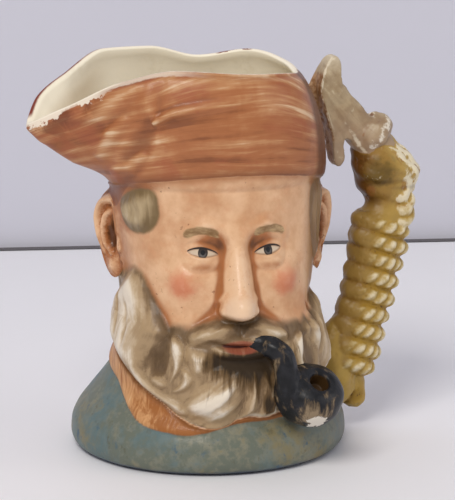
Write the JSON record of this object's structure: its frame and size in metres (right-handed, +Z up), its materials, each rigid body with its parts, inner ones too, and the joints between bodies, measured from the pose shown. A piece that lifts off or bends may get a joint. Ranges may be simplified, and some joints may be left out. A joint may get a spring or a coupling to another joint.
{
  "type": "character jug",
  "caption": "Glazed earthenware jug in the shape of a bearded seaman's head, with a cap spout, a pipe and a rope handle.",
  "frame": {"origin": "middle of the flat underside, on the surface the jug stands on", "axes": "+X towards the handle, -X towards the spout, -Y the way the figure looks, +Z up"},
  "size_m": [0.1549, 0.1158, 0.1495],
  "materials": {
    "glazed_earthenware": "glossy"
  },
  "bodies": {
    "root": {"character_jug": "glazed_earthenware"}
  },
  "joints": []
}
